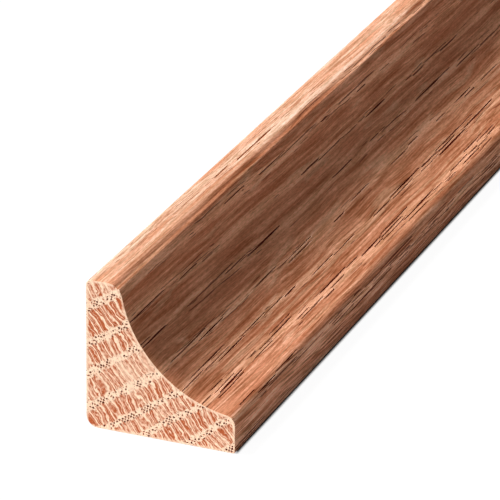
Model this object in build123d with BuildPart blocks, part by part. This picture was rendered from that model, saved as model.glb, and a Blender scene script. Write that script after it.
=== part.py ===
from build123d import *
import os

# Red oak cove moulding: one stick, moulded to section and cross-cut square at both ends.
# The stick lies along X on its bottom face, with its back to +Y and the cove facing -Y and up.

# Stock
length = 914.4
width = 19.05
height = 19.05

# Cove: the cutter's radius, and the wood left at its thinnest above the cove and below it
cove_radius = 15.875
top_lip = 4.35
front_lip = 4.65

# Easing of the long edges
top_easing = 2.1
front_easing = 1.25
heel_easing = 1.5
back_arris = 0.7
toe_arris = 0.25

# Where the cutter's centre lies across the section
cutter_across = width / 2 - top_lip - cove_radius
cutter_up = front_lip + cove_radius

os.makedirs("parts", exist_ok=True)

with BuildPart() as cove_moulding:
    with BuildSketch(Plane.YZ.offset(-length / 2)) as section:
        # Square stock standing on its bottom face
        Rectangle(width, height, align=(Align.CENTER, Align.MIN))

        # Hollow ploughed out of the top front corner
        with Locations((cutter_across, cutter_up)):
            Circle(cove_radius, mode=Mode.SUBTRACT)

        # Lips rounded over where the hollow breaks out of the top and the front
        top_break = section.vertices().group_by(Axis.Y)[-1].sort_by(Axis.X)[0]
        fillet(top_break, radius=top_easing)
        front_break = section.vertices().group_by(Axis.X)[0].sort_by(Axis.Y)[-1]
        fillet(front_break, radius=front_easing)

        # Heel eased so that it clears the corner that the moulding is fitted into
        heel = section.vertices().group_by(Axis.X)[-1].sort_by(Axis.Y)[0]
        fillet(heel, radius=heel_easing)

        # Sharp arrises just broken
        top_back = section.vertices().group_by(Axis.X)[-1].sort_by(Axis.Y)[-1]
        fillet(top_back, radius=back_arris)
        toe = section.vertices().group_by(Axis.X)[0].sort_by(Axis.Y)[0]
        fillet(toe, radius=toe_arris)
    extrude(amount=length)

cove_moulding.part.label = "cove_moulding"
export_step(cove_moulding.part, "parts/cove_moulding.step")
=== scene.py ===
import math
import random

import bmesh
import bpy
from mathutils import Matrix, Vector, kdtree, noise


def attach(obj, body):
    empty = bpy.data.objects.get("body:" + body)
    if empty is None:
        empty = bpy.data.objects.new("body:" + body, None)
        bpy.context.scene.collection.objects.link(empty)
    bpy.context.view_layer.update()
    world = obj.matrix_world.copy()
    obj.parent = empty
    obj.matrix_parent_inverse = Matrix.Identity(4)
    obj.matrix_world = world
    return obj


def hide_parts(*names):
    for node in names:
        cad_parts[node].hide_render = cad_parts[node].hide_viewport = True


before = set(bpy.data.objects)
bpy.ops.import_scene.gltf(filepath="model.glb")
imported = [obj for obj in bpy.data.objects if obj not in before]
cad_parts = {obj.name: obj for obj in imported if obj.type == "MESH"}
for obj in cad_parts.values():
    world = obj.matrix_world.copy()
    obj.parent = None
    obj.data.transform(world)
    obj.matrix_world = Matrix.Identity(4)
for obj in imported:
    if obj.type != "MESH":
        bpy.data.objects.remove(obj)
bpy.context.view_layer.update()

scene = bpy.context.scene
scene.view_settings.view_transform = "Standard"
mm = 0.001


# sRGB hex to the linear colour that the shaders take
def toLinear(hexColour, alpha=1.0):
    shares = [int(hexColour[i:i + 2], 16) / 255 for i in (1, 3, 5)]
    linear = [s / 12.92 if s <= 0.04045 else ((s + 0.055) / 1.055) ** 2.4 for s in shares]
    return (*linear, alpha)


# one node with its settings; an input that is a socket is linked, anything else is its value
def addNode(tree, kind, settings, inputs):
    node = tree.nodes.new("ShaderNode" + kind)
    for name, value in settings.items():
        setattr(node, name, value)
    for socket, value in inputs.items():
        if isinstance(value, bpy.types.NodeSocket):
            tree.links.new(value, node.inputs[socket])
        else:
            node.inputs[socket].default_value = value
    return node


# The stick: sizes in mm, u runs from the back to the front and v up from the floor
moulding = {
    "length": 914.4,
    "width": 19.05,
    "height": 19.05,
    "coveRadius": 15.875,
    "topLip": 4.35,       # wood left above the cove, at its thinnest
    "frontLip": 4.65,     # wood left below it
    "topEasing": 2.1,
    "frontEasing": 1.25,
    "heelEasing": 1.5,
    "backArris": 0.7,
    "toeArris": 0.25,
    "endEasing": 0.08,    # edge of the saw cut, rubbed off
    # a fine line and bead that the knives left: degrees round the top lip, and mm off its arc
    "lipBead": [(4.0, 0.0), (22.5, 0.05), (36.5, -0.03), (47.5, 0.15), (56.0, 0.0)],
    "column": 0.2,        # spacing of the mesh lines along the moulded side
    "backColumn": 0.8,    # and along the back and bottom
    "strips": 4,          # lengths that the texture map is cut into
    "stripRows": 65,
    "rowSlide": 1.2,      # mesh points slide along the stick by up to this
    "endCell": 0.23,      # spacing of the mesh lines on the sawn ends
    "endClear": 0.5,      # next to the saw cuts no mesh point slides
    "mergeGap": 0.0005,   # points closer than this are one
    "flush": 0.001,       # and this near a saw cut they lie in it
    "crispAngle": 24,     # degrees, sharper edges are shaded crisp
    # texture map, in shares of its side: strips of the long faces, and above them the two ends
    "mapMargin": 0.002,
    "stripHigh": 0.228,
    "capScale": 0.004,    # to each mm of an end
    "capsUp": 0.918,
    "capStarts": (0.02, 0.15),
}

# How the tree grew through the stick; lengths in mm
growth = {
    "ringTilt": 34.5,     # degrees that the rings rise towards the front
    # lines where early wood starts, across the tilt, half the width of the band of pores on each,
    # and how full it is
    "ringLines": [-16.6, -13.4, -10.4, -7.2, -3.92, -1.25, 1.88, 5.57, 8.62, 12.35, 15.45, 18.8],
    "poreBands": [0.45, 0.45, 0.45, 0.85, 0.8, 0.5, 0.32, 0.26, 0.3, 0.36, 0.24, 0.4],
    "poreShares": [0.8, 0.8, 0.8, 1.3, 1.4, 1.0, 0.9, 0.8, 0.8, 0.8, 0.6, 0.8],
    "runOut": 3.6,        # how far the rings wander over the stick
    "ripple": 0.5,
    "rippleAlong": 38.0,
    "rippleAcross": 14.0,
    "curl": 0.3,
    "curlAlong": 11.0,
    "curlAcross": 4.0,
    "poreRuns": [1, 1, 2, 2, 2, 3, 3, 4],   # lengths of the open grooves, in mesh rows
    "poreWidths": [0.18, 0.15, 0.11],
    "poreTones": [1.0, 0.9, 0.75],     # how dark each width is
    "poreTaper": 0.85,
    "stubTaper": 0.4,
    "poreDepth": 0.07,
    "poreSlant": 0.045,
    "clusterAlong": 18.0,      # pores come in clusters of about this size
    "clusterSide": 0.9,
    "clusterStep": 7.3,        # keeps the clusters of two rings apart
    "clusterSwing": 1.6,       # how marked they are
    "endBand": 0.46,
    "endShare": 1.0,
    "endClusterSide": 0.7,
    "endClusterStep": 5.7,
    "endStep": 3.3,            # keeps the two ends apart
    "endSwing": 1.3,
    "endJitter": 0.06,         # how far the cells of an end are off their grid
    "endWalls": [0.015, 0.03, 0.05],   # left round a pore in its cell, so that sizes vary
    "endDepth": 0.1,
    "fibreRidge": 0.012,
    "ridgeAlong": 9.0,
    "ridgeAcross": 0.3,
    "seed": 11,
    "noiseSeed": 1795755966,   # of the ripple and the curl
}


# where a point of the stick lies in the tree: mm along the stick, along the rings and across them
def growthAt(place, tree, stock):
    tilt = math.radians(tree["ringTilt"])
    along = place.x / mm + stock["length"] / 2
    fromBack, up = stock["width"] / 2 - place.y / mm, place.z / mm
    side = place.y / mm * math.cos(tilt) - up * math.sin(tilt)
    ring = up * math.cos(tilt) - fromBack * math.sin(tilt)
    sway = tree["runOut"] * math.sin(2 * math.pi * along / stock["length"])
    across = tree["rippleAcross"]
    wave = noise.noise_vector(Vector((along / tree["rippleAlong"], side / across, ring / across)))
    across = tree["curlAcross"]
    curl = noise.noise_vector(Vector((along / tree["curlAlong"], side / across, ring / across)))
    moved = tree["ripple"] * wave + tree["curl"] * curl
    return Vector((along, side + moved.y, ring + sway + moved.z))


# the nearest ring line, and how far off it is
def nearestRing(ring, tree):
    lines = tree["ringLines"]
    index = min(range(len(lines)), key=lambda i: abs(lines[i] - ring))
    return index, abs(lines[index] - ring)


# how likely a pore is: most on its ring line, not at all past the band, and in clusters
def poreChance(share, off, band, cluster, swing):
    return share * (1 - (off / band) ** 2) * min(1, max(0, 0.5 + swing * cluster))


def makeMoulding(spec, tree):
    width, height, length = spec["width"], spec["height"], spec["length"]
    radius, topEasing, frontEasing = spec["coveRadius"], spec["topEasing"], spec["frontEasing"]
    cutter = (spec["topLip"] + radius, spec["frontLip"] + radius)
    # the easings of the two lips touch the cove's arc from outside
    topRise = cutter[1] - height + topEasing
    topEase = (cutter[0] - math.sqrt((radius + topEasing) ** 2 - topRise ** 2), height - topEasing)
    frontRun = cutter[0] - width + frontEasing
    frontEase = (width - frontEasing, cutter[1] - math.sqrt((radius + frontEasing) ** 2 - frontRun ** 2))
    topTurn = math.pi / 2 - math.atan2(cutter[1] - topEase[1], cutter[0] - topEase[0])
    frontTurn = math.atan2(cutter[1] - frontEase[1], cutter[0] - frontEase[0])
    coveTurn = topTurn + frontTurn - math.pi / 2

    bm = bmesh.new()
    poreLayer = bm.verts.layers.float.new("pore")
    growthLayer = bm.verts.layers.float_vector.new("growth")
    mapLayer = bm.loops.layers.uv.new("OFBake")
    luck = random.Random(tree["seed"])
    noise.seed_set(tree["noiseSeed"])

    def point(u, v):
        return Vector((-length / 2, width / 2 - u, v)) * mm

    # the outline is walked round from the top face: a spin for each curve, pulls for each flat
    def turn(vert, centre, angle, size, step):
        steps = max(5, round(abs(angle) * size / step))
        swept = bmesh.ops.spin(bm, geom=[vert], cent=point(*centre), axis=(1, 0, 0), dvec=(0, 0, 0),
                               angle=angle, steps=steps, use_duplicate=False)
        return [g for g in swept["geom_last"] if isinstance(g, bmesh.types.BMVert)][0]

    def pull(vert, u, v, step):
        first, goal = vert.co.copy(), point(u, v)
        steps = max(1, round((goal - first).length / mm / step))
        for k in range(steps):
            vert = bmesh.ops.extrude_vert_indiv(bm, verts=[vert])["verts"][0]
            bmesh.ops.translate(bm, verts=[vert], vec=first.lerp(goal, (k + 1) / steps) - vert.co)
        return vert

    heel, toe, arris = spec["heelEasing"], spec["toeArris"], spec["backArris"]
    column, backColumn = spec["column"], spec["backColumn"]
    start = bm.verts.new(point(topEase[0], height))
    end = turn(start, topEase, topTurn, topEasing, column / 2)
    # the line dips towards the easing's centre and the bead stands off it
    for vert in bm.verts:
        spoke = vert.co - point(*topEase)
        turned = math.degrees(math.atan2(-spoke.y, spoke.z))
        for (fromTurn, fromLift), (toTurn, toLift) in zip(spec["lipBead"], spec["lipBead"][1:]):
            if fromTurn <= turned < toTurn:
                lift = fromLift + (toLift - fromLift) * (turned - fromTurn) / (toTurn - fromTurn)
                bmesh.ops.translate(bm, verts=[vert], vec=spoke.normalized() * lift * mm)
    end = turn(end, cutter, -coveTurn, radius, column)
    end = turn(end, frontEase, frontTurn, frontEasing, column)
    end = pull(end, width, toe, column)
    end = turn(end, (width - toe, toe), math.pi / 2, toe, column)
    end = pull(end, heel, 0, backColumn)
    end = turn(end, (heel, heel), math.pi / 2, heel, backColumn / 2)
    end = pull(end, 0, height - arris, backColumn)
    end = turn(end, (arris, height - arris), math.pi / 2, arris, column)
    pull(end, topEase[0], height, column)
    bmesh.ops.remove_doubles(bm, verts=bm.verts[:], dist=spec["mergeGap"] * mm)
    outline = bmesh.ops.contextual_create(bm, geom=bm.edges[:])["faces"]
    print("section drawn:", len(bm.verts), "points")

    # how far round the outline each of its points is, from the heel
    ring = [loop.vert.co.copy() for loop in outline[0].loops]
    first = max(range(len(ring)), key=lambda i: ring[i].y - ring[i].z)
    ring = ring[first:] + ring[:first]
    walked, columns = [0.0], kdtree.KDTree(len(ring))
    for i, place in enumerate(ring):
        columns.insert((0, place.y, place.z), i)
        walked.append(walked[-1] + (ring[(i + 1) % len(ring)] - place).length)
    columns.balance()

    # run the section out to the stick's length and rub off the edges of the two saw cuts
    run = bmesh.ops.extrude_face_region(bm, geom=outline, use_keep_orig=True)
    moved = [g for g in run["geom"] if isinstance(g, bmesh.types.BMVert)]
    bmesh.ops.translate(bm, verts=moved, vec=(length * mm, 0, 0))
    bmesh.ops.recalc_face_normals(bm, faces=bm.faces[:])
    sawn = [f for f in bm.faces if abs(f.normal.x) > 0.5]
    bmesh.ops.bevel(bm, geom=list({e for f in sawn for e in f.edges}), offset=spec["endEasing"] * mm,
                    affect="EDGES", segments=2, profile=0.5, material=-1)

    # a grid on the saw cuts, along and across the rings, and rows along the stick
    tilt = math.radians(tree["ringTilt"])
    alongRings = Vector((0, math.cos(tilt), -math.sin(tilt)))
    acrossRings = Vector((0, math.sin(tilt), math.cos(tilt)))
    cell, flush = spec["endCell"] * mm, spec["flush"] * mm

    def onEnd(face, sign):
        return abs(face.calc_center_median().x - sign * length / 2 * mm) < flush

    for sign in (-1, 1):
        for cutLine in (alongRings, acrossRings):
            spots = [p.dot(cutLine) for p in ring]
            for k in range(1, int((max(spots) - min(spots)) / cell)):
                faces = [f for f in bm.faces if onEnd(f, sign)]
                edges = list({e for f in faces for e in f.edges})
                verts = list({v for f in faces for v in f.verts})
                bmesh.ops.bisect_plane(bm, geom=faces + edges + verts, dist=flush, plane_no=cutLine,
                                       plane_co=cutLine * (min(spots) + k * cell))
    longEdges = [e for e in bm.edges if abs(e.verts[0].co.x - e.verts[1].co.x) > length / 2 * mm]
    rows = spec["strips"] * spec["stripRows"]
    rowLong = length / rows
    bmesh.ops.subdivide_edges(bm, edges=longEdges, cuts=rows - 1, use_grid_fill=True)
    bmesh.ops.recalc_face_normals(bm, faces=bm.faces[:])
    bm.normal_update()
    print("mesh cut:", len(bm.faces), "faces")

    # texture map: strips of the unrolled stick one above the other, and the two ends in the space left
    stripLength, stripHigh = length / spec["strips"], spec["stripHigh"]
    margin, capScale = spec["mapMargin"], spec["capScale"]
    for face in bm.faces:
        middle = face.calc_center_median()
        if abs(face.normal.x) > 0.3:
            shift = spec["capStarts"][middle.x > 0]
            for loop in face.loops:
                co = loop.vert.co / mm
                loop[mapLayer].uv = (shift + (width / 2 - co.y) * capScale, spec["capsUp"] + co.z * capScale)
            continue
        strip = min(spec["strips"] - 1, int((middle.x / mm + length / 2) / stripLength))
        spots = [columns.find((0, l.vert.co.y, l.vert.co.z))[1] for l in face.loops]
        wraps = max(spots) - min(spots) > len(ring) / 2
        for loop, spot in zip(face.loops, spots):
            share = (walked[-1] if wraps and spot == 0 else walked[spot]) / walked[-1]
            onStrip = (loop.vert.co.x / mm + length / 2) / stripLength - strip
            acrossStrip = strip * stripHigh + margin + share * (stripHigh - 2 * margin)
            loop[mapLayer].uv = (margin + (1 - 2 * margin) * onStrip, acrossStrip)

    # pick the quads that become open pores: runs along the stick, in the early wood, none side by side
    def neighbours(face, lengthwise):
        found = []
        for edge in face.edges:
            isLong = abs(edge.verts[0].co.x - edge.verts[1].co.x) > rowLong / 2 * mm
            if isLong != lengthwise:
                found += [f for f in edge.link_faces if f is not face]
        return found

    def isLongQuad(face):
        return abs(face.normal.x) < 0.1 and len(face.verts) == 4

    narrowest = column * 0.7 * mm
    quads = [f for f in bm.faces if isLongQuad(f) and min(e.calc_length() for e in f.edges) > narrowest]
    luck.shuffle(quads)
    chains, runs, taken = {}, [], set()
    for face in quads:
        along, side, across = growthAt(face.calc_center_median(), tree, spec)
        index, off = nearestRing(across, tree)
        band = tree["poreBands"][index]
        cluster = noise.noise(Vector((along / tree["clusterAlong"], side / tree["clusterSide"],
                                      index * tree["clusterStep"])))
        chance = poreChance(tree["poreShares"][index], off, band, cluster, tree["clusterSwing"])
        if off > band or luck.random() > chance:
            continue
        chain, size = [face], luck.choice(tree["poreRuns"])
        while len(chain) < size:
            last = chain[-1].calc_center_median().x
            ahead = [f for f in neighbours(chain[-1], True)
                     if f.calc_center_median().x > last and isLongQuad(f)]
            if not ahead:
                break
            chain.append(ahead[0])
        inLine = {f for c in chain for f in neighbours(c, True)} | set(chain)
        beside = {f for c in chain for f in neighbours(c, False)}
        if (inLine | beside) & taken:
            continue
        taken |= set(chain)
        spots = sorted(columns.find((0, v.co.y, v.co.z))[1] for v in face.verts)
        wide = round(min(e.calc_length() for e in face.edges) / mm, 3)
        kind = (spots[0] % 2, wide, luck.randrange(len(tree["poreWidths"])))
        chains.setdefault(kind, []).extend(chain)
        runs.append(chain)

    # slide the mesh points along the stick so that no two runs start level, and raise the fibres a little
    def spoke(co):
        return (co - point(*cutter)).yz.length / mm

    movingTo = (length / 2 - spec["endEasing"] - spec["endClear"]) * mm
    moving = [v for v in bm.verts if abs(v.co.x) < movingTo]
    for vert in moving:
        onRow = (vert.co.x / mm + length / 2) / rowLong
        if round(onRow) % spec["stripRows"]:
            vert.co.x += luck.uniform(-spec["rowSlide"], spec["rowSlide"]) * mm
        along, side, across = growthAt(vert.co, tree, spec)
        onFlat = max(abs(vert.normal.y), vert.normal.z) > 0.999
        inCove = abs(spoke(vert.co) - radius) < 0.01
        if onFlat or inCove:
            vert.co += vert.normal.cross(Vector((1, 0, 0))) * luck.uniform(-1, 1) * tree["poreSlant"] * mm
        ridgeAcross = tree["ridgeAcross"]
        ridge = noise.noise(Vector((along / tree["ridgeAlong"], side / ridgeAcross, across / ridgeAcross)))
        vert.co -= vert.normal * tree["fibreRidge"] * (0.5 + 0.5 * ridge) * mm

    def sink(faces, wall, depth, tone):
        for face in faces:
            for vert in face.verts:
                vert[poreLayer] = 0.0
        walls = bmesh.ops.inset_region(bm, faces=faces, thickness=wall * mm, depth=-depth * mm,
                                       use_even_offset=True, use_boundary=True, use_interpolate=True)["faces"]
        for face in faces:
            for vert in face.verts:
                vert[poreLayer] = tone
        return walls

    rims = []
    for (_, wide, size), faces in chains.items():
        rims += sink(faces, (wide - tree["poreWidths"][size]) / 2, tree["poreDepth"], tree["poreTones"][size])
    # each groove comes to a point at both ends
    for run in runs:
        taper = tree["poreTaper"] if len(run) > 1 else tree["stubTaper"]
        for face, sign in ((run[0], -1), (run[-1], 1)):
            tip = sorted(face.verts, key=lambda v: sign * v.co.x)[2:]
            middle = (tip[0].co + tip[1].co) / 2
            for vert in tip:
                vert.co = vert.co.lerp(middle, taper)
    print("long pores:", len(taken), "quads")

    # pores on the saw cuts
    pits, jitter = [], tree["endJitter"]
    for sign in (-1, 1):
        faces = [f for f in bm.faces if onEnd(f, sign)]
        cells = set(faces)
        inner = {v for f in faces for v in f.verts if all(g in cells for g in v.link_faces)}
        for vert in sorted(inner, key=lambda v: (v.co.y, v.co.z)):
            vert.co += Vector((0, luck.uniform(-jitter, jitter), luck.uniform(-jitter, jitter))) * mm
        for face in sorted(faces, key=lambda f: tuple(f.calc_center_median())):
            if len(face.verts) != 4 or any(v not in inner for v in face.verts):
                continue
            along, side, across = growthAt(face.calc_center_median(), tree, spec)
            index, off = nearestRing(across, tree)
            cluster = noise.noise(Vector((side / tree["endClusterSide"], index * tree["endClusterStep"],
                                          sign * tree["endStep"])))
            chance = poreChance(tree["endShare"], off, tree["endBand"], cluster, tree["endSwing"])
            beside = {f for e in face.edges for f in e.link_faces}
            if off < tree["endBand"] and luck.random() < chance and not beside & taken:
                pits.append(face)
                taken.add(face)
    for size, wall in enumerate(tree["endWalls"]):
        part = [f for i, f in enumerate(pits) if i % len(tree["endWalls"]) == size]
        rims += sink(part, wall, tree["endDepth"], tree["poreTones"][size])
    print("end pores:", len(pits))

    # cells of the saw cuts that the outline crosses have corners along a straight edge
    straight = math.radians(179)
    cutCells = [f for f in bm.faces if len(f.verts) > 4 or max(l.calc_angle() for l in f.loops) > straight]
    bmesh.ops.triangulate(bm, faces=cutCells, quad_method="BEAUTY", ngon_method="BEAUTY")

    # long faces are smooth round the curves, and pores and saw cuts keep a crisp edge
    bmesh.ops.dissolve_degenerate(bm, dist=spec["mergeGap"] * mm, edges=bm.edges[:])
    bm.normal_update()
    for face in bm.faces:
        face.smooth = abs(face.normal.x) < 0.5
    for edge in bm.edges:
        edge.smooth = edge.calc_face_angle(0) < math.radians(spec["crispAngle"])
    for edge in {e for f in rims if f.is_valid for e in f.edges}:
        edge.smooth = False
    for vert in bm.verts:
        vert[growthLayer] = growthAt(vert.co, tree, spec)
    print("open edges:", sum(not e.is_manifold for e in bm.edges))
    mesh = bpy.data.meshes.new("coveMoulding")
    bm.to_mesh(mesh)
    bm.free()
    mesh.calc_loop_triangles()
    stick = bpy.data.objects.new("coveMoulding", mesh)
    scene.collection.objects.link(stick)
    print("stick made:", len(mesh.loop_triangles), "triangles")
    return stick


# Colours of the oak, and its finer figure; lengths in mm
oak = {
    # tone of the ring past each line, on the ends and on the long faces, and how marked its fine lines are;
    # on the long faces this tone also holds painted light and shade, lighter on the front's low rings and
    # darker on the middle of the cove
    "lateTone": [0.9, 1.0, 0.8, 1.0, 0.75, 1.0, 0.6, 1.0, 1.0, 0.65, 0.8],
    "longToneAndShade": [1.0, 1.2, 1.15, 1.06, 0.99, 0.87, 0.89, 0.97, 1.0, 1.0, 1.0],
    "lineDepth": [1.0, 1.0, 1.95, 1.2, 1.15, 1.0, 0.75, 0.65, 0.65, 1.0, 1.0],
    "vesselSpacing": 0.34,
    "vesselWidth": 0.1,
    "vesselWander": 0.34,
    "vesselBand": 0.22,   # share of a ring, each side of its line
    "vesselGaps": 0.35,   # share of the vessels that doesn't show
    "vesselTone": 0.75,   # how dark the others are
    "vesselDepth": 0.04,
    "fibreRise": 0.01,
    "raySpacing": 0.84,
    "rayDrift": 2.4,      # how far the rays wander, in spacings
    "rayCurl": 0.6,       # and how far they curl
    "fineRays": 2.6,      # narrow rays to each wide one
    "fleckShare": 0.4,    # how far a ray's colour shows on the long faces
    "lateEdge": 0.3,      # how uneven the late wood's edge is, as a share of a ring
    "lateStreak": 0.22,   # how far late wood darkens the streaks
    "rimWidth": 0.3,      # pale edge round an end, a painted highlight
    "rimShare": 0.25,     # how much of the blocks' colour it keeps
    "topFade": (0.15, 0.06),   # depths under the top face between which the paler colour, painted light, sets in
    # noise patterns: size along the stick, along the rings and across them, and the detail
    "patterns": {
        "rayDrift": ((60.0, 1.8, 5.0), 1.5),
        "rayCurl": ((60.0, 0.5, 0.7), 1.0),
        "rayBreak": ((14.0, 0.84, 4.0), 1.0),
        "lateEdge": ((25.0, 0.6, 2.0), 1.0),
        "weave": ((8.0, 1.1, 1.1), 1.0),
        "fibre": ((0.9, 0.13, 0.13), 2.0),
        "streak": ((17.0, 0.45, 0.45), 2.0),
        "line": ((9.0, 0.17, 0.17), 1.0),
        "patch": ((8.0, 1.6, 1.6), 1.0),      # smooth patches where a ray lies in the face
        "cloud": ((110.0, 7.0, 7.0), 2.0),    # slow change of tone over the stick
        "mottle": ((40.0, 0.28, 0.5), 2.0),
    },
    # ramps: two limits of what goes in, and what comes out at each
    "ramps": {
        "ray": (0.6, 0.82, 0.0, 1.0),
        "fineRay": (0.5, 0.85, 0.0, 0.65),
        "rayKept": (0.48, 0.58, 0.0, 1.0),
        "lateStart": (0.1, 0.2, 0.0, 1.0),
        "lateEnd": (0.82, 0.92, 1.0, 0.0),
        "groove": (0.1, 1.0, 0.0, 1.0),
        "lineShare": (0.35, 0.65, 1.35, 0.45),
        "lineSwing": (0.34, 0.66, -0.54, 0.48),
        "streakShare": (0.38, 0.9, 0.0, 1.0),
        "deepShare": (0.58, 0.76, 0.0, 0.26),
        "fibreTone": (0.25, 0.75, 0.72, 1.28),
        "cloudTone": (0.3, 0.7, 0.86, 1.1),
        "patchTone": (0.3, 0.7, 0.89, 1.11),
        "blockTone": (0.0, 1.0, 0.72, 1.35),
        "mottleShare": (0.35, 0.65, 0.72, 1.4),
        "speckle": (0.5, 0.7, 0.0, 0.32),
        "endTone": (0.3, 0.7, 1.09, 0.87),
        "rough": (0.0, 1.0, 0.72, 0.6),
    },
    "tonePowers": (0.82, 1.04, 1.36),   # red, green and blue
    # paler colours, painted light, for the top, back and bottom, and deeper ones, painted shade, for the cove
    # and front
    "paintedLitPale": "#fcd0b2",
    "paintedLitTan": "#e09b76",
    "paintedShadePale": "#ffbb94",
    "paintedShadeTan": "#c67a55",
    "darkStreak": "#a45c3a",
    "ray": "#f3c09b",
    "pore": "#5a1503",
    "paintedLitPore": "#a05224",
    # paler pores for the faces with the painted light
    "endPale": "#ffdbbd",
    "endBlock": "#b8603a",
}


# Red oak, run through a moulder and left bare: tan and salmon fibre, open dark pores in bands where the
# rings' early wood is cut, pale ray flecks, and on the sawn ends red-brown blocks between pale rays
def makeRedOak(spec, tree, stock):
    material = bpy.data.materials.new("redOakMoulded")
    material.use_nodes = True
    nodes = material.node_tree
    nodes.nodes.clear()
    times, timesPlus, larger = ({"operation": name} for name in ("MULTIPLY", "MULTIPLY_ADD", "MAXIMUM"))
    smooth, blend = {"interpolation_type": "SMOOTHSTEP"}, {"data_type": "RGBA"}
    ramps = {name: dict(enumerate(limits, 1)) for name, limits in spec["ramps"].items()}

    # the stick carries its place in the tree, in mm: along it, along the rings and across them
    lay = addNode(nodes, "Attribute", {"attribute_name": "growth"}, {})
    grown = lay.outputs["Vector"]
    axes = addNode(nodes, "SeparateXYZ", {}, {0: grown})
    sideAt, ringAt = axes.outputs[1], axes.outputs[2]
    place = addNode(nodes, "TexCoord", {}, {})
    facing = addNode(nodes, "SeparateXYZ", {}, {0: place.outputs["Normal"]})

    # patterns, most of them drawn out along the stick
    pattern = {}
    for name, (sizes, detail) in spec["patterns"].items():
        space = addNode(nodes, "Mapping", {}, {"Vector": grown, "Scale": [1 / size for size in sizes]})
        pattern[name] = addNode(nodes, "TexNoise", {},
                                {"Vector": space.outputs[0], "Scale": 1.0, "Detail": detail})

    # ring count: a curve through the ring lines, so that each line is a whole number
    lines = tree["ringLines"]
    low, span, rings = lines[0], lines[-1] - lines[0], len(lines) - 1

    def drawCurve(node, places):
        points = node.mapping.curves[0].points
        while len(points) < len(places):
            points.new(0.5, 0.5)
        for drawn, placed in zip(points, places):
            drawn.location = placed
            drawn.handle_type = "VECTOR"
        node.mapping.update()

    ringPlaces = [((line - low) / span, i / rings) for i, line in enumerate(lines)]

    def ringShare(position):
        share = addNode(nodes, "MapRange", {}, {0: position, 1: low, 2: low + span, 3: 0.0, 4: 1.0})
        count = addNode(nodes, "FloatCurve", {}, {"Value": share.outputs[0]})
        drawCurve(count, ringPlaces)
        return count.outputs[0]

    ringHere = ringShare(ringAt)
    counted = addNode(nodes, "Math", times, {0: ringHere, 1: float(rings)})
    phase = addNode(nodes, "Math", {"operation": "FRACT"}, {0: counted.outputs[0]})
    # a curve holds 0 to 1, so the two lists that go past 1 are halved in it
    ringCurve = {}
    for name, most in (("lateTone", 1), ("longToneAndShade", 2), ("lineDepth", 2)):
        ringCurve[name] = addNode(nodes, "FloatCurve", {}, {"Value": ringHere})
        drawCurve(ringCurve[name], [((i + 0.5) / rings, value / most) for i, value in enumerate(spec[name])])

    # rays: thin sheets that stand across the rings, met edge on at the ends and flat on the quartered cove
    rayCount = addNode(nodes, "Math", times, {0: sideAt, 1: 1 / spec["raySpacing"]})
    rayPlace = addNode(nodes, "Math", timesPlus,
                       {0: pattern["rayDrift"].outputs[0], 1: spec["rayDrift"], 2: rayCount.outputs[0]})
    rayCurled = addNode(nodes, "Math", timesPlus,
                        {0: pattern["rayCurl"].outputs[0], 1: spec["rayCurl"], 2: rayPlace.outputs[0]})
    rayTurn = addNode(nodes, "Math", times, {0: rayCurled.outputs[0], 1: 2 * math.pi})
    rayWave = addNode(nodes, "Math", {"operation": "SINE"}, {0: rayTurn.outputs[0]})
    ray = addNode(nodes, "MapRange", smooth, {0: rayWave.outputs[0], **ramps["ray"]})
    fineTurn = addNode(nodes, "Math", times, {0: rayTurn.outputs[0], 1: spec["fineRays"]})
    fineWave = addNode(nodes, "Math", {"operation": "SINE"}, {0: fineTurn.outputs[0]})
    fineRay = addNode(nodes, "MapRange", smooth, {0: fineWave.outputs[0], **ramps["fineRay"]})
    anyRay = addNode(nodes, "Math", larger, {0: ray.outputs[0], 1: fineRay.outputs[0]})
    rayKept = addNode(nodes, "MapRange", smooth, {0: pattern["rayBreak"].outputs[0], **ramps["rayKept"]})
    fleck = addNode(nodes, "Math", times, {0: ray.outputs[0], 1: rayKept.outputs[0]})

    # late wood fills the ring between two pore lines, with an uneven edge
    edgeShift = addNode(nodes, "Math", timesPlus,
                        {0: pattern["lateEdge"].outputs[0], 1: spec["lateEdge"], 2: -spec["lateEdge"] / 2})
    phaseEdge = addNode(nodes, "Math", {"operation": "ADD"}, {0: phase.outputs[0], 1: edgeShift.outputs[0]})
    lateStart = addNode(nodes, "MapRange", smooth, {0: phaseEdge.outputs[0], **ramps["lateStart"]})
    lateEnd = addNode(nodes, "MapRange", smooth, {0: phaseEdge.outputs[0], **ramps["lateEnd"]})
    late = addNode(nodes, "Math", times, {0: lateStart.outputs[0], 1: lateEnd.outputs[0]})

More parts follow.
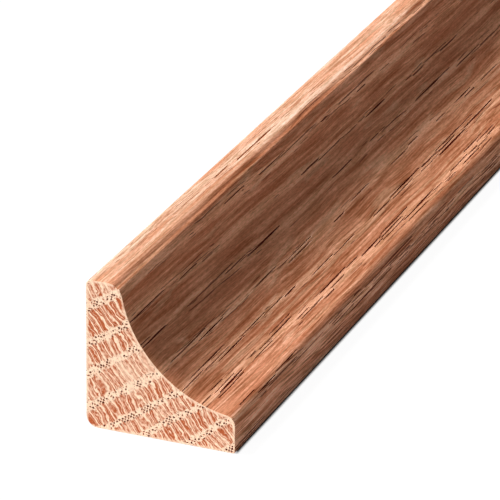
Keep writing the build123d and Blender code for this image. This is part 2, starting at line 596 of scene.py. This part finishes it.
    # fine vessels between the open pores weave in and out of a cut face
    weaveMid = addNode(nodes, "VectorMath", {"operation": "SUBTRACT"},
                       {0: pattern["weave"].outputs["Color"], 1: (0.5, 0.5, 0.5)})
    weaveBy = addNode(nodes, "VectorMath", {"operation": "SCALE"},
                      {0: weaveMid.outputs[0], "Scale": spec["vesselWander"] * 2})
    woven = addNode(nodes, "VectorMath", {"operation": "ADD"}, {0: grown, 1: weaveBy.outputs[0]})
    wovenParts = addNode(nodes, "SeparateXYZ", {}, {0: woven.outputs[0]})
    flat = addNode(nodes, "CombineXYZ", {}, {0: wovenParts.outputs[1], 1: wovenParts.outputs[2], 2: 0.0})
    vessels = addNode(nodes, "TexVoronoi", {"voronoi_dimensions": "2D"},
                      {"Vector": flat.outputs[0], "Scale": 1 / spec["vesselSpacing"]})
    middle = addNode(nodes, "SeparateXYZ", {}, {0: vessels.outputs["Position"]})
    middleCount = addNode(nodes, "Math", times, {0: ringShare(middle.outputs[1]), 1: float(rings)})
    middlePhase = addNode(nodes, "Math", {"operation": "FRACT"}, {0: middleCount.outputs[0]})
    fromLine = addNode(nodes, "Math", {"operation": "PINGPONG"}, {0: middlePhase.outputs[0], 1: 0.5})
    inBand = addNode(nodes, "Math", {"operation": "LESS_THAN"},
                     {0: fromLine.outputs[0], 1: spec["vesselBand"]})
    pick = addNode(nodes, "SeparateColor", {}, {0: vessels.outputs["Color"]})
    kept = addNode(nodes, "Math", {"operation": "GREATER_THAN"}, {0: pick.outputs[0], 1: spec["vesselGaps"]})
    vesselHere = addNode(nodes, "Math", times, {0: inBand.outputs[0], 1: kept.outputs[0]})
    reach = 0.5 * spec["vesselWidth"] / spec["vesselSpacing"]
    vesselShape = addNode(nodes, "MapRange", smooth, {
        0: vessels.outputs["Distance"], 1: reach * 0.7, 2: reach * 1.3, 3: spec["vesselTone"], 4: 0.0})
    vessel = addNode(nodes, "Math", times, {0: vesselShape.outputs[0], 1: vesselHere.outputs[0]})
    opened = addNode(nodes, "Attribute", {"attribute_name": "pore"}, {})
    groove = addNode(nodes, "MapRange", {}, {0: opened.outputs["Fac"], **ramps["groove"]})
    pore = addNode(nodes, "Math", larger, {0: vessel.outputs[0], 1: groove.outputs[0]})

    # fine lines along the grain, fainter in the smooth patches
    lineShare = addNode(nodes, "MapRange", {}, {0: pattern["patch"].outputs[0], **ramps["lineShare"]})
    lineHere = addNode(nodes, "Math", times, {0: lineShare.outputs[0], 1: ringCurve["lineDepth"].outputs[0]})
    lineSwing = addNode(nodes, "MapRange", {}, {0: pattern["line"].outputs[0], **ramps["lineSwing"]})
    lineTone = addNode(nodes, "Math", timesPlus, {0: lineSwing.outputs[0], 1: lineHere.outputs[0], 2: 1.0})

    # the top, back and bottom take a paler colour and the cove and front a deeper one: painted light on the
    # lit top and painted shade on the shaded cove and front
    placeAt = addNode(nodes, "SeparateXYZ", {}, {0: place.outputs["Object"]})
    fadeFrom, fadeTo = ((stock["height"] - depth) * mm for depth in spec["topFade"])
    onTop = addNode(nodes, "MapRange", smooth,
                    {0: placeAt.outputs[2], 1: fadeFrom, 2: fadeTo, 3: 0.0, 4: 1.0})
    onBack = addNode(nodes, "Math", {"operation": "GREATER_THAN"}, {0: facing.outputs[1], 1: 0.01})
    underneath = addNode(nodes, "Math", {"operation": "LESS_THAN"}, {0: facing.outputs[2], 1: -0.5})
    paintedLitSides = addNode(nodes, "Math", larger, {0: onBack.outputs[0], 1: underneath.outputs[0]})
    paintedLitFaces = addNode(nodes, "Math", larger, {0: paintedLitSides.outputs[0], 1: onTop.outputs[0]})
    paintedShadeFaces = addNode(nodes, "Math", {"operation": "SUBTRACT"}, {0: 1.0, 1: paintedLitFaces.outputs[0]})
    light = addNode(nodes, "Mix", blend, {
        0: paintedShadeFaces.outputs[0], 6: toLinear(spec["paintedLitPale"]), 7: toLinear(spec["paintedShadePale"])})
    tan = addNode(nodes, "Mix", blend, {
        0: paintedShadeFaces.outputs[0], 6: toLinear(spec["paintedLitTan"]), 7: toLinear(spec["paintedShadeTan"])})

    # long grain colour
    ringStreak = addNode(nodes, "Math", timesPlus,
                         {0: late.outputs[0], 1: spec["lateStreak"], 2: pattern["streak"].outputs[0]})
    streakShare = addNode(nodes, "MapRange", smooth, {0: ringStreak.outputs[0], **ramps["streakShare"]})
    streaked = addNode(nodes, "Mix", blend, {
        0: streakShare.outputs[0], 6: light.outputs[2], 7: tan.outputs[2]})
    deepShare = addNode(nodes, "MapRange", smooth, {0: pattern["streak"].outputs[0], **ramps["deepShare"]})
    deepened = addNode(nodes, "Mix", blend, {
        0: deepShare.outputs[0], 6: streaked.outputs[2], 7: toLinear(spec["darkStreak"])})
    fleckShare = addNode(nodes, "Math", times, {0: fleck.outputs[0], 1: spec["fleckShare"]})
    flecked = addNode(nodes, "Mix", blend, {
        0: fleckShare.outputs[0], 6: deepened.outputs[2], 7: toLinear(spec["ray"])})
    fibreTone = addNode(nodes, "MapRange", {}, {0: pattern["fibre"].outputs[0], **ramps["fibreTone"]})
    cloudTone = addNode(nodes, "MapRange", {}, {0: pattern["cloud"].outputs[0], **ramps["cloudTone"]})
    patchTone = addNode(nodes, "MapRange", {}, {0: pattern["patch"].outputs[0], **ramps["patchTone"]})
    # ring tone on the long faces, partly painted light and shade
    ringToneAndShade = addNode(nodes, "Math", times, {0: ringCurve["longToneAndShade"].outputs[0], 1: 2.0})
    fineTone = addNode(nodes, "Math", times, {0: fibreTone.outputs[0], 1: lineTone.outputs[0]})
    wideTone = addNode(nodes, "Math", times, {0: cloudTone.outputs[0], 1: patchTone.outputs[0]})
    bothTones = addNode(nodes, "Math", times, {0: fineTone.outputs[0], 1: wideTone.outputs[0]})
    toneHere = addNode(nodes, "Math", times, {0: bothTones.outputs[0], 1: ringToneAndShade.outputs[0]})
    # darker fibre is also redder
    tints = [addNode(nodes, "Math", {"operation": "POWER"}, {0: toneHere.outputs[0], 1: power}).outputs[0]
             for power in spec["tonePowers"]]
    tinted = addNode(nodes, "CombineColor", {}, {0: tints[0], 1: tints[1], 2: tints[2]})
    longGrain = addNode(nodes, "Mix", {**blend, "blend_type": "MULTIPLY"}, {
        0: 1.0, 6: flecked.outputs[2], 7: tinted.outputs[0]})

    # end grain colour: dark blocks between the rays, each with its own tone, and a pale rim along the
    # outline, a painted highlight
    notRay = addNode(nodes, "Math", {"operation": "SUBTRACT"}, {0: 1.0, 1: anyRay.outputs[0]})
    block = addNode(nodes, "Math", times, {0: late.outputs[0], 1: notRay.outputs[0]})
    # a ray's middle lies a quarter past each whole count
    rayStart = addNode(nodes, "Math", {"operation": "SUBTRACT"}, {0: rayPlace.outputs[0], 1: 0.25})
    rayIndex = addNode(nodes, "Math", {"operation": "FLOOR"}, {0: rayStart.outputs[0]})
    ringIndex = addNode(nodes, "Math", {"operation": "FLOOR"}, {0: counted.outputs[0]})
    blockCell = addNode(nodes, "CombineXYZ", {}, {0: rayIndex.outputs[0], 1: ringIndex.outputs[0], 2: 0.0})
    blockPick = addNode(nodes, "TexWhiteNoise", {"noise_dimensions": "2D"}, {"Vector": blockCell.outputs[0]})
    blockTone = addNode(nodes, "MapRange", {}, {0: blockPick.outputs[0], **ramps["blockTone"]})
    mottle = pattern["mottle"].outputs[0]
    mottleShare = addNode(nodes, "MapRange", {}, {0: mottle, **ramps["mottleShare"]})
    toned = addNode(nodes, "Math", times, {0: mottleShare.outputs[0], 1: ringCurve["lateTone"].outputs[0]})
    ownTone = addNode(nodes, "Math", times, {0: toned.outputs[0], 1: blockTone.outputs[0]})
    blockShare = addNode(nodes, "Math", times, {0: block.outputs[0], 1: ownTone.outputs[0]})

    section = addNode(nodes, "Mapping", {}, {
        "Vector": place.outputs["Object"],
        "Location": (0, -stock["width"] / 2, 0),
        "Scale": (0, 1 / mm, 1 / mm),
    })
    sides = addNode(nodes, "SeparateXYZ", {}, {0: section.outputs[0]})
    fromBack = addNode(nodes, "Math", {"operation": "ABSOLUTE"}, {0: sides.outputs[1]})
    fromSide = addNode(nodes, "Math", {"operation": "PINGPONG"},
                       {0: fromBack.outputs[0], 1: stock["width"] / 2})
    fromFlat = addNode(nodes, "Math", {"operation": "PINGPONG"},
                       {0: sides.outputs[2], 1: stock["height"] / 2})
    fromFaces = addNode(nodes, "Math", {"operation": "MINIMUM"},
                        {0: fromSide.outputs[0], 1: fromFlat.outputs[0]})
    radius = stock["coveRadius"]
    cutterAt = (0, -(stock["topLip"] + radius), stock["frontLip"] + radius)
    fromCutter = addNode(nodes, "VectorMath", {"operation": "DISTANCE"}, {0: section.outputs[0], 1: cutterAt})
    fromCove = addNode(nodes, "Math", {"operation": "SUBTRACT"}, {0: fromCutter.outputs["Value"], 1: radius})
    fromEdge = addNode(nodes, "Math", {"operation": "MINIMUM"},
                       {0: fromFaces.outputs[0], 1: fromCove.outputs[0]})
    # the pale rim is a painted highlight along the end's edges
    rim = spec["rimWidth"]
    inside = addNode(nodes, "MapRange", smooth, {
        0: fromEdge.outputs[0], 1: rim * 0.4, 2: rim * 1.6, 3: spec["rimShare"], 4: 1.0})
    speckle = addNode(nodes, "MapRange", {}, {0: mottle, **ramps["speckle"]})
    speckled = addNode(nodes, "Math", larger, {0: blockShare.outputs[0], 1: speckle.outputs[0]})
    blockInside = addNode(nodes, "Math", {**times, "use_clamp": True},
                          {0: speckled.outputs[0], 1: inside.outputs[0]})
    blocked = addNode(nodes, "Mix", blend, {
        0: blockInside.outputs[0], 6: toLinear(spec["endPale"]), 7: toLinear(spec["endBlock"])})
    endTone = addNode(nodes, "MapRange", {}, {0: mottle, **ramps["endTone"]})
    endGrain = addNode(nodes, "Mix", {**blend, "blend_type": "MULTIPLY"}, {
        0: 1.0, 6: blocked.outputs[2], 7: endTone.outputs[0]})

    # the two grains meet at the saw cuts, and pores are paler on the faces with the painted light
    endOn = addNode(nodes, "Math", {"operation": "ABSOLUTE"}, {0: facing.outputs[0]})
    isEnd = addNode(nodes, "Math", {"operation": "GREATER_THAN"}, {0: endOn.outputs[0], 1: 0.5})
    wood = addNode(nodes, "Mix", blend, {
        0: isEnd.outputs[0], 6: longGrain.outputs[2], 7: endGrain.outputs[2]})
    notEnd = addNode(nodes, "Math", {"operation": "SUBTRACT", "use_clamp": True},
                     {0: paintedLitFaces.outputs[0], 1: isEnd.outputs[0]})
    poreColour = addNode(nodes, "Mix", blend, {
        0: notEnd.outputs[0], 6: toLinear(spec["pore"]), 7: toLinear(spec["paintedLitPore"])})
    colour = addNode(nodes, "Mix", blend, {0: pore.outputs[0], 6: wood.outputs[2], 7: poreColour.outputs[2]})

    # fine vessels are shallow grooves, fibres stand up a little
    height = addNode(nodes, "Math", times, {0: pattern["fibre"].outputs[0], 1: spec["fibreRise"]})
    grooved = addNode(nodes, "Math", timesPlus,
                      {0: vessel.outputs[0], 1: -spec["vesselDepth"], 2: height.outputs[0]})
    bump = addNode(nodes, "Bump", {}, {"Strength": 1.0, "Distance": mm, "Height": grooved.outputs[0]})
    rough = addNode(nodes, "MapRange", {}, {0: late.outputs[0], **ramps["rough"]})
    surface = addNode(nodes, "BsdfPrincipled", {}, {
        "Base Color": colour.outputs[2],
        "Roughness": rough.outputs[0],
        "IOR": 1.53,
        "Specular IOR Level": 0.02,
        "Normal": bump.outputs[0],
    })
    addNode(nodes, "OutputMaterial", {}, {"Surface": surface.outputs[0]})
    print("red oak made:", len(nodes.nodes), "nodes")
    return material


# Floor, light and background of the studio
studio = {
    "floorSide": 60.0,            # m
    "floorDrop": 0.02,            # mm, gap under the stick
    "floorColour": "#c9c9c9",     # what the floor gives back to the wood
    "floorGlow": 0.96,            # what the camera sees of it, so that the shadow stays faint
    "floorShade": "#505050",      # what the camera sees the lamps add to that
    "contactFrom": (-0.55, 0.8, 0.25),
    "contactSamples": 16,
    "contactRamp": (0.48, 0.85),  # open share of the view from the floor, from dark to clear
    "contactSlant": 0.5,          # it starts at the toe of the near end, and further along towards the heel
    "contactFade": 1.0,           # mm, how fast it sets in
    "contactReach": 0.8,          # mm, width of the dark line where the stick meets the floor, a painted contact shadow
    "lamps": {                    # where each one stands, its strength and how wide it looks, in degrees
        "keyLamp": ((-0.1, 0.53, 0.842), 3.2, 17.0),
        "endLamp": ((-0.93, 0.3, 0.2), 2.06, 20.0),
    },
    "lampFar": 2.0,               # m
    "roomColour": "#ffffff",
    "fill": 0.11,
}


def makeStudio(spec, stock):
    bm = bmesh.new()
    bmesh.ops.create_grid(bm, x_segments=1, y_segments=1, size=spec["floorSide"] / 2)
    bmesh.ops.translate(bm, verts=bm.verts[:], vec=(0, 0, -spec["floorDrop"] * mm))
    mesh = bpy.data.meshes.new("studioFloor")
    bm.to_mesh(mesh)
    bm.free()
    floor = bpy.data.objects.new("studioFloor", mesh)
    scene.collection.objects.link(floor)

    # 1 where the camera looks, straight, by a reflection or through something, and 0 for light that bounces
    def seenIn(tree):
        rays = addNode(tree, "LightPath", {}, {})
        sharp = addNode(tree, "Math", {"operation": "MAXIMUM"},
                        {0: rays.outputs["Is Camera Ray"], 1: rays.outputs["Is Glossy Ray"]})
        seen = addNode(tree, "Math", {"operation": "MAXIMUM"},
                       {0: sharp.outputs[0], 1: rays.outputs["Is Transmission Ray"]})
        return seen.outputs[0]

    # pale matt sweep: plain bounce for the wood, near white with a faint shadow for the camera, and a painted
    # contact shadow along the stick
    paper = bpy.data.materials.new("paperSweep")
    paper.use_nodes = True
    tree = paper.node_tree
    tree.nodes.clear()
    matt = addNode(tree, "BsdfDiffuse", {}, {"Color": toLinear(spec["floorColour"])})
    # painted contact shadow: the camera's glow is darkened where the stick closes in the floor's view
    near = addNode(tree, "AmbientOcclusion", {"samples": spec["contactSamples"]}, {
        "Distance": spec["contactReach"] * mm,
        "Normal": spec["contactFrom"],
    })
    where = addNode(tree, "NewGeometry", {}, {})
    floorAt = addNode(tree, "SeparateXYZ", {}, {0: where.outputs["Position"]})
    slanted = addNode(tree, "Math", {"operation": "MULTIPLY_ADD"},
                      {0: floorAt.outputs[1], 1: -spec["contactSlant"], 2: floorAt.outputs[0]})
    nearToe = (spec["contactSlant"] * stock["width"] - stock["length"]) / 2
    alongStick = addNode(tree, "MapRange", {}, {
        0: slanted.outputs[0], 1: nearToe * mm, 2: (nearToe + spec["contactFade"]) * mm, 3: 1.0, 4: 0.0})
    dark, clear = spec["contactRamp"]
    unlit = addNode(tree, "MapRange", {"interpolation_type": "SMOOTHSTEP"},
                    {0: near.outputs["AO"], 1: dark, 2: clear, 3: 0.0, 4: 1.0})
    contact = addNode(tree, "Math", {"operation": "MAXIMUM"},
                      {0: unlit.outputs[0], 1: alongStick.outputs[0]})
    seenGlow = addNode(tree, "Math", {"operation": "MULTIPLY"},
                       {0: contact.outputs[0], 1: spec["floorGlow"]})
    glow = addNode(tree, "Emission", {}, {"Strength": seenGlow.outputs[0]})
    shade = addNode(tree, "BsdfDiffuse", {}, {"Color": toLinear(spec["floorShade"])})
    white = addNode(tree, "AddShader", {}, {0: glow.outputs[0], 1: shade.outputs[0]})
    both = addNode(tree, "MixShader", {}, {0: seenIn(tree), 1: matt.outputs[0], 2: white.outputs[0]})
    addNode(tree, "OutputMaterial", {}, {"Surface": both.outputs[0]})
    mesh.materials.append(paper)

    # a low even fill, and white where the camera looks past the floor
    world = bpy.data.worlds.new("studioRoom")
    world.use_nodes = True
    scene.world = world
    tree = world.node_tree
    tree.nodes.clear()
    roomColour = toLinear(spec["roomColour"])
    room = addNode(tree, "Background", {}, {"Color": roomColour, "Strength": spec["fill"]})
    backdrop = addNode(tree, "Background", {}, {"Color": roomColour, "Strength": 1.0})
    both = addNode(tree, "MixShader", {}, {0: seenIn(tree), 1: room.outputs[0], 2: backdrop.outputs[0]})
    addNode(tree, "OutputWorld", {}, {"Surface": both.outputs[0]})

    # a soft key over the stick's back, and a lower lamp that faces its near end
    for name, (direction, strength, spread) in spec["lamps"].items():
        lamp = bpy.data.lights.new(name, "SUN")
        lamp.energy = strength
        lamp.angle = math.radians(spread)
        holder = bpy.data.objects.new(name, lamp)
        holder.rotation_euler = Vector(direction).to_track_quat("Z", "Y").to_euler()
        holder.location = Vector(direction) * spec["lampFar"]
        scene.collection.objects.link(holder)
    print("studio lit")


# The camera looks down the stick from beyond its near end; mm and degrees
viewpoint = {
    "place": (-861.1, -172.0, 215.5),
    "heading": 21.72,     # off the stick's line, towards its back
    "downward": 23.51,
    "roll": 0.77,
    "lens": 298.0,
    "sensor": 36.0,
    "clip": (0.01, 100.0),   # m
}


def makeCamera(spec):
    heading, downward, roll = (math.radians(spec[k]) for k in ("heading", "downward", "roll"))
    forward = Vector((math.cos(heading) * math.cos(downward), math.sin(heading) * math.cos(downward),
                      -math.sin(downward)))
    right = forward.cross(Vector((0, 0, 1))).normalized()
    up = right.cross(forward)
    rightRolled = math.cos(roll) * right + math.sin(roll) * up
    upRolled = math.cos(roll) * up - math.sin(roll) * right
    turned = Matrix((rightRolled, upRolled, -forward)).transposed()
    lens = bpy.data.cameras.new("photoCamera")
    lens.lens = spec["lens"]
    lens.sensor_width = spec["sensor"]
    lens.clip_start, lens.clip_end = spec["clip"]
    camera = bpy.data.objects.new("photoCamera", lens)
    camera.matrix_world = Matrix.Translation(Vector(spec["place"]) * mm) @ turned.to_4x4()
    scene.collection.objects.link(camera)
    scene.camera = camera
    print("camera placed")


stick = makeMoulding(moulding, growth)
stick.data.materials.append(makeRedOak(oak, growth, moulding))
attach(stick, "root")
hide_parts("cove_moulding")
makeStudio(studio, moulding)
makeCamera(viewpoint)
